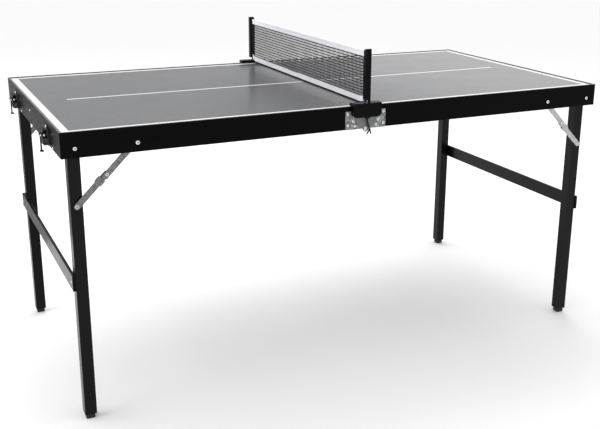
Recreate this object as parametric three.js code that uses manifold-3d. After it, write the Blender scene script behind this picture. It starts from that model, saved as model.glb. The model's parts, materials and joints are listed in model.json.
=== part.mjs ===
// A mid-size ping pong table that folds in half like a suitcase, with its net.
// Millimetres, +X along the length, +Y across the width, +Z up.
// The origin is on the floor under the middle of the table.
import * as THREE from 'three';
import { mergeVertices } from 'three/addons/utils/BufferGeometryUtils.js';
import Module from 'manifold-3d';

const wasm = await Module();
wasm.setup();

// ---------------------------------------------------------------- driving dimensions
const LENGTH = 1600;
const WIDTH = 800;
const HEIGHT = 760;          // floor to the rim of the rails
const FIT = 0.3;             // gap between pieces that touch
const END = LENGTH / 2;
const SIDE = WIDTH / 2;

const RAIL_HEIGHT = 63;
const RAIL_WALL = 2.5;
const RAIL_FLANGE = 10.5;    // how far the rail's bottom flange and ledge reach inwards
const LIP_WIDTH = 6;         // the rim that shows beside the board
const LIP_THICK = 2;
const LEDGE_THICK = 2;
const BOARD_THICK = 12;
const RAIL_BOTTOM = HEIGHT - RAIL_HEIGHT;
const BOARD_TOP = HEIGHT - LIP_THICK - FIT;
const BOARD_BOTTOM = BOARD_TOP - BOARD_THICK;
const SEAM_HALF = 0.5;       // each half stops this far from the middle
const SEAM_RAIL_FACE = 2;
const SEAM_RAIL_DEPTH = 22;
const SEAM_RAIL_DROP = 38;

const FOLD_Z = RAIL_BOTTOM - 0.5;   // the fold's axis, along Y at x = 0
const LEAF_REACH = 61;
const LEAF_HEIGHT = 50;
const LEAF_THICK = 2;
const LEAF_EAR = 8;
const LOBE_RADIUS = 33;          // the right leaf's half disc, which laps over the left leaf
const LOBE_TOP = RAIL_BOTTOM + 34;
const LOBE_THICK = 2.2;
const PIN_RADIUS = 4;
const RIVET_HEAD = 3.6;

const LEG = 30;              // square tube
const LEG_WALL = 1.5;
const LEG_X = END - 33;      // the legs' axis, from the middle of the table
const LEG_Y = SIDE - 40;
const PIVOT_Z = 720;
const LEG_TOP = PIVOT_Z + 18;
const FOOT_DROP = 13;        // how far the foot shows below its tube
const FOOT_WIDTH = 22;
const FOOT_PLUG = 15;
const BAR_HEIGHT = 41;
const BAR_BOTTOM = 357;
const BAR_OUTER = END - 10;
const BAR_WALL = 1.4;

const BRACE_REACH = 148;     // pivot to each end of the open brace, along X and along Z
const BRACE_HALF_WIDTH = 7.5;
const BRACE_THICK = 3;
const BRACE_TAIL = 14.5;     // the upper arm's stop past the knee
const UPPER_ARM_Y = SIDE - 12.4;
const LOWER_ARM_Y = SIDE - 19;
const LOCK_FROM_KNEE = 24;
const LOCK_LENGTH = 17;
const LOCK_HALF_HEIGHT = 9.5;

const LATCH_Y = 240;
const LATCH_REACH = 20;      // how far a latch or the handle stands out from the end rail
const HANDLE_Z = 728;
const PLATE = 2;             // sheet steel of the latches, keepers and handle base
const LEVER_PIN = 2;
const HOOK_PIN = 1.4;
const HANDLE_PIN = 3;

const BRACKET_HALF = 43;
const BRACKET_THICK = 7.5;
const BRACKET_DROP = 30.5;
const BRACKET_OUTER = SIDE + 13;
const BRACKET_INNER = SIDE - 10;
const POST_X = 16;
const POST_Y = 14;
const POST_FOOT = 2.5;       // below its channel the post is cut away up to this X for the cord
const LIP_STEP = 3.5;        // the channel's lips end this far below the post's top
const NET_TOP = HEIGHT + 145;
const NET_BOTTOM = HEIGHT + 10.5;
const POST_TOP = HEIGHT + 151;
const TAPE = 14.5;
const ROD_RADIUS = 3.4;
const ROD_Y = SIDE - 0.5;
const CORD_RADIUS = 2;

// ---------------------------------------------------------------- finishes
const finish = (color, roughness, metalness) => ({ color, roughness, metalness });
const BOARD_GREY = finish(0x8f9296, 0.35, 0);
const BLACK_STEEL = finish(0x16161a, 0.4, 0.3);
const GALVANISED = finish(0xa4a8a8, 0.45, 0.9);
const CHROME = finish(0xc8c8cc, 0.15, 1);
const BLACK_PLASTIC = finish(0x0d0d10, 0.5, 0);
const RUBBER = finish(0x151515, 0.8, 0);
const NET_BLACK = finish(0x202024, 0.9, 0);
const TAPE_WHITE = finish(0xd8d6e0, 0.8, 0);

// ---------------------------------------------------------------- solids
const table = new THREE.Group();

function signedVolume(geometry) {
  const p = geometry.attributes.position;
  const index = geometry.index.array;
  const [a, b, c] = [new THREE.Vector3(), new THREE.Vector3(), new THREE.Vector3()];
  let six = 0;
  for (let i = 0; i < index.length; i += 3) {
    a.fromBufferAttribute(p, index[i]);
    b.fromBufferAttribute(p, index[i + 1]);
    c.fromBufferAttribute(p, index[i + 2]);
    six += a.dot(b.cross(c));
  }
  return six / 6;
}

function turnFaces(geometry) {
  const index = geometry.index.array;
  for (let i = 0; i < index.length; i += 3) {
    [index[i + 1], index[i + 2]] = [index[i + 2], index[i + 1]];
  }
}

// Only positions, shared vertices merged, faces pointing out.
function closed(geometry) {
  geometry.deleteAttribute('normal');
  geometry.deleteAttribute('uv');
  const merged = mergeVertices(geometry, 1e-4);
  if (signedVolume(merged) < 0) turnFaces(merged);
  return merged;
}

function toManifold(geometry) {
  return new wasm.Manifold(new wasm.Mesh({
    numProp: 3,
    vertProperties: new Float32Array(geometry.attributes.position.array),
    triVerts: new Uint32Array(geometry.index.array),
  }));
}

function toGeometry(manifold) {
  const mesh = manifold.getMesh();
  const geometry = new THREE.BufferGeometry();
  geometry.setAttribute('position', new THREE.BufferAttribute(mesh.vertProperties, 3));
  geometry.setIndex(new THREE.BufferAttribute(mesh.triVerts, 1));
  return geometry;
}

function join(first, ...others) {
  return toGeometry(others.reduce((sum, g) => sum.add(toManifold(g)), toManifold(first)));
}

function cut(first, ...tools) {
  return toGeometry(tools.reduce((rest, g) => rest.subtract(toManifold(g)), toManifold(first)));
}

function box(x0, x1, y0, y1, z0, z1) {
  const geometry = new THREE.BoxGeometry(x1 - x0, y1 - y0, z1 - z0);
  geometry.translate((x0 + x1) / 2, (y0 + y1) / 2, (z0 + z1) / 2);
  return closed(geometry);
}

// A turned piece on an axis along Y at (x, z). The profile lists [radius, y].
function turned(x, z, profile, segments = 14) {
  const points = profile.map(([radius, y]) => new THREE.Vector2(radius, y));
  return closed(new THREE.LatheGeometry(points, segments).translate(x, 0, z));
}

function rod(x, z, radius, y0, y1, segments = 14) {
  return turned(x, z, [[0, y0], [radius, y0], [radius, y1], [0, y1]], segments);
}

function rodZ(x, y, radius, z0, z1) {
  const geometry = new THREE.CylinderGeometry(radius, radius, z1 - z0, 12);
  return closed(geometry.rotateX(Math.PI / 2).translate(x, y, (z0 + z1) / 2));
}

// A plate cut to an outline in X and Z, between two Y values.
function plateXZ(shape, y0, y1) {
  const geometry = new THREE.ExtrudeGeometry(shape, {
    depth: y1 - y0, bevelEnabled: false, curveSegments: 8,
  });
  return closed(geometry.rotateX(Math.PI / 2).translate(0, y1, 0));
}

// A plate cut to an outline in Y and Z, between two X values.
function plateYZ(shape, x0, x1) {
  const geometry = new THREE.ExtrudeGeometry(shape, {
    depth: x1 - x0, bevelEnabled: false, curveSegments: 8,
  });
  const turn = new THREE.Matrix4().makeBasis(
    new THREE.Vector3(0, 1, 0), new THREE.Vector3(0, 0, 1), new THREE.Vector3(1, 0, 0));
  return closed(geometry.applyMatrix4(turn).translate(x0, 0, 0));
}

function polygon(points) {
  return new THREE.Shape(points.map(([u, v]) => new THREE.Vector2(u, v)));
}

function roundedBar([ax, az], [bx, bz], radius) {
  const along = Math.atan2(bz - az, bx - ax);
  const shape = new THREE.Shape();
  shape.absarc(ax, az, radius, along + Math.PI / 2, along + 1.5 * Math.PI, false);
  shape.absarc(bx, bz, radius, along - Math.PI / 2, along + Math.PI / 2, false);
  shape.closePath();
  return shape;
}

// Mirrored in X, in Y or in both, with its faces still pointing out.
function mirrored(geometry, flipX, flipY) {
  const copy = geometry.clone();
  copy.scale(flipX ? -1 : 1, flipY ? -1 : 1, 1);
  if (flipX !== flipY) turnFaces(copy);
  return copy;
}

function piece(name, geometry, look) {
  const mesh = new THREE.Mesh(geometry, new THREE.MeshStandardMaterial(look));
  mesh.name = name;
  table.add(mesh);
}

// The four corners: a piece modelled at -X, -Y is mirrored to the others.
const HALVES = [['left', false], ['right', true]];
const SIDES = [['front', false], ['rear', true]];

function atCorners(suffix, geometry, look) {
  for (const [half, flipX] of HALVES) {
    for (const [side, flipY] of SIDES) {
      piece(`${half}_${side}_${suffix}`, mirrored(geometry, flipX, flipY), look);
    }
  }
}

function atEnds(suffix, geometry, look) {
  for (const [half, flipX] of HALVES) {
    piece(`${half}_${suffix}`, mirrored(geometry, flipX, false), look);
  }
}

// ---------------------------------------------------------------- top: rails and boards
// The roll-formed rail's section: [distance inwards from its outer face, z].
const RAIL_SECTION = [
  [0, RAIL_BOTTOM], [RAIL_FLANGE, RAIL_BOTTOM],
  [RAIL_FLANGE, RAIL_BOTTOM + RAIL_WALL], [RAIL_WALL, RAIL_BOTTOM + RAIL_WALL],
  [RAIL_WALL, BOARD_BOTTOM - FIT - LEDGE_THICK], [RAIL_FLANGE, BOARD_BOTTOM - FIT - LEDGE_THICK],
  [RAIL_FLANGE, BOARD_BOTTOM - FIT], [RAIL_WALL, BOARD_BOTTOM - FIT],
  [RAIL_WALL, HEIGHT - LIP_THICK], [LIP_WIDTH, HEIGHT - LIP_THICK],
  [LIP_WIDTH, HEIGHT], [0, HEIGHT],
];
const MITRE_GAP = 0.2;

// A rail from one place to another along its length; a mitred end is cut back by its depth.
// place(along, inwards) gives the rail's x and y.
function rail(from, to, mitreFrom, mitreTo, place) {
  const geometry = new THREE.ExtrudeGeometry(polygon(RAIL_SECTION), { depth: 1, bevelEnabled: false });
  const p = geometry.attributes.position;
  for (let i = 0; i < p.count; i += 1) {
    const inwards = p.getX(i);
    const z = p.getY(i);
    const along = p.getZ(i) < 0.5
      ? from + (mitreFrom ? inwards + MITRE_GAP : 0)
      : to - (mitreTo ? inwards + MITRE_GAP : 0);
    const [x, y] = place(along, inwards);
    p.setXYZ(i, x, y, z);
  }
  return closed(geometry);
}

function sideRail() {
  const bare = rail(-END, -SEAM_HALF, true, false, (along, inwards) => [along, -SIDE + inwards]);
  const through = [-SIDE - 1, -SIDE + RAIL_WALL + 1];
  return cut(bare,
    rod(-LEG_X, PIVOT_Z, PIN_RADIUS + 1 + FIT, ...through),
    rod(-LEG_X + BRACE_REACH, PIVOT_Z, PIN_RADIUS + FIT, ...through));
}

function seamRail() {
  const outer = -SEAM_RAIL_FACE;
  const inner = outer - SEAM_RAIL_DEPTH;
  const top = BOARD_BOTTOM - FIT;
  const bottom = top - SEAM_RAIL_DROP;
  const wall = 2;
  const reach = SIDE - RAIL_FLANGE - FIT;
  const section = polygon([
    [outer, bottom], [outer, top], [inner, top], [inner, top - wall], [outer - wall, top - wall],
    [outer - wall, bottom + wall], [inner, bottom + wall], [inner, bottom],
  ]);
  return plateXZ(section, -reach, reach);
}

function buildTop() {
  const clear = RAIL_WALL + FIT;
  const board = box(-END + clear, -SEAM_HALF, -SIDE + clear, SIDE - clear, BOARD_BOTTOM, BOARD_TOP);
  atEnds('board', board, BOARD_GREY);
  const side = sideRail();
  atCorners('rail', side, BLACK_STEEL);
  const end = rail(-SIDE, SIDE, true, true, (along, inwards) => [-END + inwards, along]);
  atEnds('end_rail', end, BLACK_STEEL);
  atEnds('seam_rail', seamRail(), BLACK_STEEL);
}

// ---------------------------------------------------------------- fold hinges
// Each leaf is riveted to its half's rail. The heads stand on the plate.
const LEAF_RIVETS = [[54, 12], [54, 43], [38, 23], [32, 9]];

function leafRivets(sign, face) {
  return LEAF_RIVETS.map(([x, up]) => turned(sign * x, RAIL_BOTTOM + up, [
    [0, face - 1.7], [1.8, face - 1.7], [RIVET_HEAD, face - 0.6], [RIVET_HEAD, face + 0.5], [0, face + 0.5],
  ], 12));
}

function leftLeaf() {
  const inner = -SIDE - FIT;
  const outer = inner - LEAF_THICK;
  const plate = box(-LEAF_REACH, -SEAM_HALF, outer, inner, RAIL_BOTTOM, RAIL_BOTTOM + LEAF_HEIGHT);
  const ear = rod(0, FOLD_Z, LEAF_EAR, outer, inner);
  const hole = rod(0, FOLD_Z, PIN_RADIUS + FIT, outer - 1, inner + 1);
  return cut(join(plate, ear, ...leafRivets(-1, outer)), hole);
}

function rightLeaf() {
  const inner = -SIDE - FIT;
  const outer = inner - LEAF_THICK;
  const lobeInner = outer - FIT;
  const lobeOuter = lobeInner - LOBE_THICK;
  const start = LEAF_EAR + 0.8;
  const plate = box(start, LEAF_REACH, lobeInner - 0.1, inner, RAIL_BOTTOM, RAIL_BOTTOM + LEAF_HEIGHT);
  const outline = new THREE.Shape();
  outline.absarc(0, LOBE_TOP, LOBE_RADIUS, Math.PI, 2 * Math.PI, false);
  outline.closePath();
  const lobe = plateXZ(outline, lobeOuter, lobeInner);
  const ear = rod(0, FOLD_Z, LEAF_EAR, lobeOuter, lobeInner);
  const hole = rod(0, FOLD_Z, PIN_RADIUS + FIT, lobeOuter - 1, inner + 1);
  return cut(join(plate, lobe, ear, ...leafRivets(1, lobeInner - 0.1)), hole);
}

function hingePin() {
  const inner = -SIDE - FIT;
  const head = inner - LEAF_THICK - FIT - LOBE_THICK - FIT;
  return turned(0, FOLD_Z, [
    [0, head - 1.7], [3, head - 1.7], [6.5, head - 0.5], [6.5, head], [PIN_RADIUS, head],
    [PIN_RADIUS, inner], [0, inner],
  ]);
}

function buildHinges() {
  const pieces = { left_hinge_leaf: leftLeaf(), right_hinge_leaf: rightLeaf(), hinge_pin: hingePin() };
  for (const [side, flipY] of SIDES) {
    for (const [name, geometry] of Object.entries(pieces)) {
      piece(`${side}_${name}`, mirrored(geometry, false, flipY), GALVANISED);
    }
  }
}

// ---------------------------------------------------------------- legs
function legTube() {
  const half = LEG / 2;
  const inner = half - LEG_WALL;
  const tube = box(-LEG_X - half, -LEG_X + half, -LEG_Y - half, -LEG_Y + half, FOOT_DROP, LEG_TOP);
  const hollow = box(-LEG_X - inner, -LEG_X + inner, -LEG_Y - inner, -LEG_Y + inner, 0, LEG_TOP + 1);
  const pivot = rod(-LEG_X, PIVOT_Z, PIN_RADIUS + 1 + FIT, -LEG_Y - LEG, -LEG_Y + LEG);
  const brace = rod(-LEG_X, PIVOT_Z - BRACE_REACH, PIN_RADIUS + FIT, -LEG_Y - LEG, -LEG_Y);
  return cut(tube, hollow, pivot, brace);
}

function foot() {
  const half = FOOT_WIDTH / 2;
  const edge = 2;
  const plug = LEG / 2 - LEG_WALL - FIT;
  const shape = polygon([[-half, -half], [half, -half], [half, half], [-half, half]]
    .map(([x, y]) => [x * (1 - edge / half), y * (1 - edge / half)]));
  const shown = new THREE.ExtrudeGeometry(shape, {
    depth: FOOT_DROP + 1 - 2 * edge,
    bevelEnabled: true, bevelSize: edge, bevelThickness: edge, bevelSegments: 2,
  });
  const bottom = closed(shown.translate(-LEG_X, -LEG_Y, edge));
  return join(bottom, box(-LEG_X - plug, -LEG_X + plug, -LEG_Y - plug, -LEG_Y + plug,
    FOOT_DROP - 2 + FIT, FOOT_DROP + FOOT_PLUG));
}

function legPivotPin() {
  const radius = PIN_RADIUS + 1;
  const railInner = -SIDE + RAIL_WALL + FIT;
  const legOuter = -LEG_Y - LEG / 2;
  const legInner = -LEG_Y + LEG / 2;
  return turned(-LEG_X, PIVOT_Z, [
    [0, -SIDE - 3.4], [3, -SIDE - 3.2], [5.9, -SIDE - 1.6], [5.9, -SIDE - FIT], [radius, -SIDE - FIT],
    [radius, railInner], [8, railInner], [8, legOuter - FIT], [radius, legOuter - FIT],
    [radius, legInner + FIT], [8, legInner + FIT], [8, legInner + 4], [0, legInner + 4],
  ]);
}

function crossbar() {
  const inner = LEG_X + LEG / 2 + FIT;
  const reach = LEG_Y + LEG / 2;
  const top = BAR_BOTTOM + BAR_HEIGHT;
  const bar = box(-BAR_OUTER, -inner, -reach, reach, BAR_BOTTOM, top);
  const hollow = box(-BAR_OUTER + BAR_WALL, -inner - BAR_WALL, -reach - 1, reach + 1,
    BAR_BOTTOM + BAR_WALL, top - BAR_WALL);
  return cut(bar, hollow);
}

function buildLegs() {
  atCorners('leg', legTube(), BLACK_STEEL);
  atCorners('foot', foot(), RUBBER);
  atCorners('leg_pivot_pin', legPivotPin(), GALVANISED);
  atEnds('crossbar', crossbar(), BLACK_STEEL);
}

// ---------------------------------------------------------------- folding braces
const BRACE_TOP = [-LEG_X + BRACE_REACH, PIVOT_Z];
const BRACE_FOOT = [-LEG_X, PIVOT_Z - BRACE_REACH];
const KNEE = [(BRACE_TOP[0] + BRACE_FOOT[0]) / 2, (BRACE_TOP[1] + BRACE_FOOT[1]) / 2];

// The point a given distance from the knee, towards the foot of the brace.
function pastKnee(distance) {
  const step = distance * Math.SQRT1_2;
  return [KNEE[0] - step, KNEE[1] - step];
}

function upperArm() {
  const front = -UPPER_ARM_Y;
  const back = front + BRACE_THICK;
  const tail = pastKnee(BRACE_TAIL - BRACE_HALF_WIDTH);
  const arm = plateXZ(roundedBar(BRACE_TOP, tail, BRACE_HALF_WIDTH), front, back);
  const rivet = turned(...BRACE_TOP, [
    [0, -SIDE - 3.2], [3, -SIDE - 3.1], [6.5, -SIDE - 1.4], [6.5, -SIDE - FIT], [PIN_RADIUS, -SIDE - FIT],
    [PIN_RADIUS, back], [0, back],
  ]);
  const kneeRivet = turned(...KNEE, [
    [0, front - 1.6], [2.5, front - 1.6], [5.5, front - 0.6], [5.5, front + 0.5], [0, front + 0.5],
  ], 16);
  return join(arm, rivet, kneeRivet);
}

function lowerArm() {
  const front = -LOWER_ARM_Y;
  const back = front + BRACE_THICK;
  const arm = plateXZ(roundedBar(BRACE_FOOT, KNEE, BRACE_HALF_WIDTH), front, back);
  const rivet = turned(...BRACE_FOOT, [
    [0, front - 2.2], [3, front - 2.2], [6.2, front - 0.8], [6.2, front + 0.5], [PIN_RADIUS, front + 0.5],
    [PIN_RADIUS, -LEG_Y - LEG / 2 + 4], [0, -LEG_Y - LEG / 2 + 4],
  ]);
  return join(arm, rivet);
}

// A collar on the lower arm, turned to lie along it.
function lockRing() {
  const front = -LOWER_ARM_Y;
  const back = front + BRACE_THICK;
  const bore = BRACE_HALF_WIDTH + FIT;
  const half = LOCK_LENGTH / 2;
  const collar = box(-half, half, front - 2.6, back + 2.5, -LOCK_HALF_HEIGHT, LOCK_HALF_HEIGHT);
  const slot = box(-half - 1, half + 1, front - FIT, back + FIT, -bore, bore);
  const [x, z] = pastKnee(LOCK_FROM_KNEE);
  return cut(collar, slot).rotateY(-Math.PI / 4).translate(x, 0, z);
}

function buildBraces() {
  atCorners('brace_upper_arm', upperArm(), GALVANISED);
  atCorners('brace_lower_arm', lowerArm(), GALVANISED);
  atCorners('brace_lock_ring', lockRing(), CHROME);
}

// ---------------------------------------------------------------- latches and handle
const LEVER_PIVOT = [-END - 7.5, 704];
const HOOK_PIVOT = [-END - 16.7, 724];

function latchBase() {
  const face = -END - FIT;
  const [low, shoulder, neck, high] = [RAIL_BOTTOM + 0.5, 736, 741, 747];
  const plate = plateYZ(polygon([
    [-17, low], [17, low], [17, shoulder], [9, neck], [9, high], [-9, high], [-9, neck], [-17, shoulder],
  ]), face - PLATE, face);
  const ear = (y0, y1) => box(face - 11.5, face - 1, y0, y1, 699, 716);
  const bore = rod(...LEVER_PIVOT, LEVER_PIN + FIT, -20, 20, 12);
  const rivet = plateYZ(roundedBar([0, 742.4], [0, 742.6], 3.2), face - 3.4, face - 1.5);
  return cut(join(plate, ear(-16.7, -14.2), ear(14.2, 16.7), rivet), bore);
}

function latchLever() {
  const outer = -END - 13.2;
  const cover = cut(
    box(outer, -END - 4.5, -13, 13, 700, 736),
    box(outer + 2.5, -END, -11, 11, 702, 733));
  const pivot = rod(...LEVER_PIVOT, LEVER_PIN, -17.4, 17.4, 12);
  const lug = (y0, y1) => box(HOOK_PIVOT[0] - 2.6, outer + 1, y0, y1, 721, 727);
  const pin = rod(...HOOK_PIVOT, HOOK_PIN, -9.5, 9.5, 12);
  return join(cover, pivot, lug(-9.5, -7), lug(7, 9.5), pin);
}

function latchHook() {
  const [x, z] = HOOK_PIVOT;
  const strip = box(x - 1.2, x + 1.2, -6, 6, 682, z);
  const eye = rod(x, z, 3, -6.5, 6.5, 14);
  const bore = rod(x, z, HOOK_PIN + FIT, -10, 10, 12);
  const tooth = box(-END - LATCH_REACH, -END - 11.5, -6, 6, 681, 683.5);
  return cut(join(strip, eye, tooth), bore);
}

function keeper() {
  const face = END + FIT;
  const plate = box(face, face + PLATE, -14, 14, RAIL_BOTTOM + 1, HANDLE_Z);
  const flange = box(face + 1, END + 11.5, -10, 10, 707, 709);
  return join(plate, flange);
}

const HANDLE_PIVOT_X = END + 12;
const GRIP_HALF = 64;

function handleBase() {
  const face = END + FIT;
  const reach = GRIP_HALF + 8;
  const plate = box(face, face + PLATE, -reach, reach, HANDLE_Z - 8, HANDLE_Z + 10);
  const lug = (y0, y1) => box(face + 1, END + 18, y0, y1, HANDLE_Z - 7, HANDLE_Z + 7);
  const pin = (y0, y1) => rod(HANDLE_PIVOT_X, HANDLE_Z, HANDLE_PIN, y0, y1);
  const near = GRIP_HALF + 0.4;
  return join(plate, lug(-reach, -near), lug(near, reach),
    pin(-near - 1, -GRIP_HALF + 11), pin(GRIP_HALF - 11, near + 1));
}

// A U with a round eye at the top of each arm.
function handle() {
  const eye = END + LATCH_REACH - HANDLE_PIVOT_X;
  const [x0, x1] = [HANDLE_PIVOT_X - eye, HANDLE_PIVOT_X + eye];
  const bottom = 690;
  const arm = 12;
  const outer = box(x0, x1, -GRIP_HALF, GRIP_HALF, bottom, HANDLE_Z);
  const eyes = rod(HANDLE_PIVOT_X, HANDLE_Z, eye, -GRIP_HALF, GRIP_HALF, 24);
  const gap = box(x0 - 1, x1 + 1, -GRIP_HALF + arm, GRIP_HALF - arm, bottom + 2 * eye, HANDLE_Z + 2 * eye);
  const bore = rod(HANDLE_PIVOT_X, HANDLE_Z, HANDLE_PIN + FIT, -GRIP_HALF - 1, GRIP_HALF + 1);
  return cut(join(outer, eyes), gap, bore);
}

function buildLatches() {
  for (const [side, y] of [['front', -LATCH_Y], ['rear', LATCH_Y]]) {
    piece(`${side}_latch_base`, latchBase().translate(0, y, 0), GALVANISED);
    piece(`${side}_latch_lever`, latchLever().translate(0, y, 0), BLACK_STEEL);
    piece(`${side}_latch_hook`, latchHook().translate(0, y, 0), BLACK_STEEL);
    piece(`${side}_latch_keeper`, keeper().translate(0, y, 0), GALVANISED);
  }
  piece('carry_handle_base', handleBase(), GALVANISED);
  piece('carry_handle', handle(), BLACK_PLASTIC);
}

// ---------------------------------------------------------------- net
// A moulded post whose foot hooks over the rim and down outside the hinge.
function netPost() {
  const top = HEIGHT + FIT + BRACKET_THICK;
  const bottom = HEIGHT - BRACKET_DROP;
  const skirtInner = SIDE + 5.3;
  const flange = box(-BRACKET_HALF, BRACKET_HALF, -BRACKET_OUTER, -BRACKET_INNER, HEIGHT + FIT, top);
  const corner = 12;
  const outline = new THREE.Shape();
  outline.moveTo(-BRACKET_HALF, top);
  outline.lineTo(-BRACKET_HALF, bottom + corner);
  outline.absarc(-BRACKET_HALF + corner, bottom + corner, corner, Math.PI, 1.5 * Math.PI, false);
  outline.absarc(BRACKET_HALF - corner, bottom + corner, corner, 1.5 * Math.PI, 2 * Math.PI, false);
  outline.lineTo(BRACKET_HALF, top);
  outline.closePath();
  const skirt = plateXZ(outline, -BRACKET_OUTER, -skirtInner);
  const gland = box(-4, 8, -BRACKET_OUTER + 1, -skirtInner - 0.8, bottom - 3.5, bottom + 1);
  const inner = BRACKET_OUTER - POST_Y;
  const post = box(-POST_X / 2, POST_X / 2, -BRACKET_OUTER, -inner, top - 1, POST_TOP);
  const lip = -inner - 6;
  const start = top + 8;
  const groove = box(-ROD_RADIUS - 0.8, ROD_RADIUS + 0.8, lip, -inner + 1, start, POST_TOP + 1);
  const cordGap = box(-POST_X, POST_FOOT, -BRACKET_OUTER - 1, -inner + 1, top, start);
  const innerGap = box(POST_FOOT - 1, POST_X, lip - 1.5, -inner + 1, top, start);
  const lipTop = box(-POST_X, POST_X, lip, -inner + 1, POST_TOP - LIP_STEP, POST_TOP + 1);
  return cut(join(flange, skirt, gland, post), groove, cordGap, innerGap, lipTop);
}

// The net's field and the rod in the sleeve at each end of it.
function netMesh() {
  const half = 0.8;
  const field = box(-half, half, -ROD_Y, ROD_Y, NET_BOTTOM + TAPE + FIT, NET_TOP - TAPE - FIT);
  return join(field,
    rodZ(0, -ROD_Y, ROD_RADIUS, NET_BOTTOM - 1.5, NET_TOP - 2),
    rodZ(0, ROD_Y, ROD_RADIUS, NET_BOTTOM - 1.5, NET_TOP - 2));
}

function tape(bottom) {
  const reach = ROD_Y - ROD_RADIUS - FIT;
  return box(-2, 2, -reach, reach, bottom, bottom + TAPE);
}

// The tension cord's loose end: out of the gland, then down to its knot.
const CORD_ROUTE = [
  [2, -409.6, 725.7], [2.2, -409.6, 721], [2.9, -409.7, 716], [4.1, -409.8, 711],
  [5.6, -409.9, 706], [7, -410, 701.5], [7.8, -410, 698.6],
];
const KNOT = [8.6, -410, 694.2];

function tensionCord() {
  const path = new THREE.CatmullRomCurve3(CORD_ROUTE.map((p) => new THREE.Vector3(...p)));
  const section = new THREE.Shape();
  section.absarc(0, 0, CORD_RADIUS, 0, 2 * Math.PI, false);
  return closed(new THREE.ExtrudeGeometry(section, {
    steps: 5, extrudePath: path, curveSegments: 4, bevelEnabled: false,
  }));
}

// A round knot with two short tails below it.
function knot() {
  const ball = closed(new THREE.SphereGeometry(4.2, 12, 8).translate(...KNOT));
  const tail = (aside, lean) => {
    const geometry = new THREE.CylinderGeometry(1.3, 1.3, 11, 8);
    geometry.rotateX(Math.PI / 2).rotateY(lean);
    return closed(geometry.translate(KNOT[0] + aside, KNOT[1], KNOT[2] - 6));
  };
  return join(ball, tail(-3.2, 0.6), tail(2, -0.25));
}

function buildNet() {
  const post = netPost();
  piece('front_net_post', post, BLACK_PLASTIC);
  piece('rear_net_post', mirrored(post, false, true), BLACK_PLASTIC);
  piece('net_mesh', netMesh(), NET_BLACK);
  piece('net_top_tape', tape(NET_TOP - TAPE), TAPE_WHITE);
  piece('net_bottom_tape', tape(NET_BOTTOM), TAPE_WHITE);
  piece('tension_cord', tensionCord(), NET_BLACK);
  piece('tension_cord_knot', knot(), NET_BLACK);
}

buildTop();
buildHinges();
buildLegs();
buildBraces();
buildLatches();
buildNet();

export default table;
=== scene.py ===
# %% [markdown]
# # A folding ping pong table
# A grey top in two halves with black steel rails, four folding legs with locking braces, two
# draw latches, a carry handle and a net on two clip-on posts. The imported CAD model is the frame.
# Its steel, boards and mouldings stay and get soft edges and finishes. What a lathe or a press
# cannot describe, such as the net, its tapes and the cord, is made here.

# %% Load the frame
import bpy
import bmesh
import json
import math
from mathutils import Matrix, Vector, noise


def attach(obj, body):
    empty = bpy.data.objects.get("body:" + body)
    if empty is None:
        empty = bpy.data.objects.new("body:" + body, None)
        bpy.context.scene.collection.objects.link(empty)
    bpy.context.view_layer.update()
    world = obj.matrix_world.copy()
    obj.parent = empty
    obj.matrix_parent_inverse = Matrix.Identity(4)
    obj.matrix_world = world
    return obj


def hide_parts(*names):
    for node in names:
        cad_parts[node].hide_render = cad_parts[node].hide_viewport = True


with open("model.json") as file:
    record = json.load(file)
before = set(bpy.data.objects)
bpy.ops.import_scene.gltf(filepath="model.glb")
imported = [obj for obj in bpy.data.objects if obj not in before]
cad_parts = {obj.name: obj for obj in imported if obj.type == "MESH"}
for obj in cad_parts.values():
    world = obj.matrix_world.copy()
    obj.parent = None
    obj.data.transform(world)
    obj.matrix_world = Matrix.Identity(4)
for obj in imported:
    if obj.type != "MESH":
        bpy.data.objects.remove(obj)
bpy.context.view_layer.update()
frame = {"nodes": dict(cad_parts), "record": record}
MM = 0.001

# %% [markdown]
# ## The camera
# It stands low at the front left of the table and looks across it. Its place, turn and lens were
# worked out once from the table's own corners, so they are plain numbers. Turning is written as
# three angles: left or right, down, and a small roll.

# %% Camera
CAMERA_PLACE = Vector((-1.1630, -2.4923, 1.2491))
YAW, PITCH, ROLL = 0.4699, 0.2886, 0.0126
ahead = Vector((math.sin(YAW) * math.cos(PITCH), math.cos(YAW) * math.cos(PITCH), -math.sin(PITCH)))
level = ahead.cross(Vector((0, 0, 1))).normalized()
upright = level.cross(ahead)
right = math.cos(ROLL) * level + math.sin(ROLL) * upright
above = math.cos(ROLL) * upright - math.sin(ROLL) * level
camera_data = bpy.data.cameras.new("camera")
camera_data.sensor_width, camera_data.lens = 36.0, 54.69
camera_data.shift_x, camera_data.shift_y = -0.0515, -0.0505
camera = bpy.data.objects.new("camera", camera_data)
bpy.context.collection.objects.link(camera)
camera.matrix_world = Matrix((
    (right.x, above.x, -ahead.x, CAMERA_PLACE.x), (right.y, above.y, -ahead.y, CAMERA_PLACE.y),
    (right.z, above.z, -ahead.z, CAMERA_PLACE.z), (0, 0, 0, 1)))
bpy.context.scene.camera = camera
print("camera looks along", [round(v, 3) for v in ahead])

# %% [markdown]
# ## The tension cord
# A thin braided cord runs through the net's tapes and comes out of the gland under the near
# bracket. Its loose end hangs 32 mm down and is stopped by a knot. A curve with a round bevel is
# the natural way to make it, because its centre line is the cord's own line.

# %% Cord route
CORD_RADIUS = 0.002
CORD_ROUTE = [(2, -409.6, 725.7), (2.2, -409.6, 721), (2.9, -409.7, 716), (4.1, -409.8, 711),
              (5.6, -409.9, 706), (7, -410, 701.5), (7.8, -410, 698.6), (8.6, -410, 694.2)]
route = [Vector(point) * MM for point in CORD_ROUTE]


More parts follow.
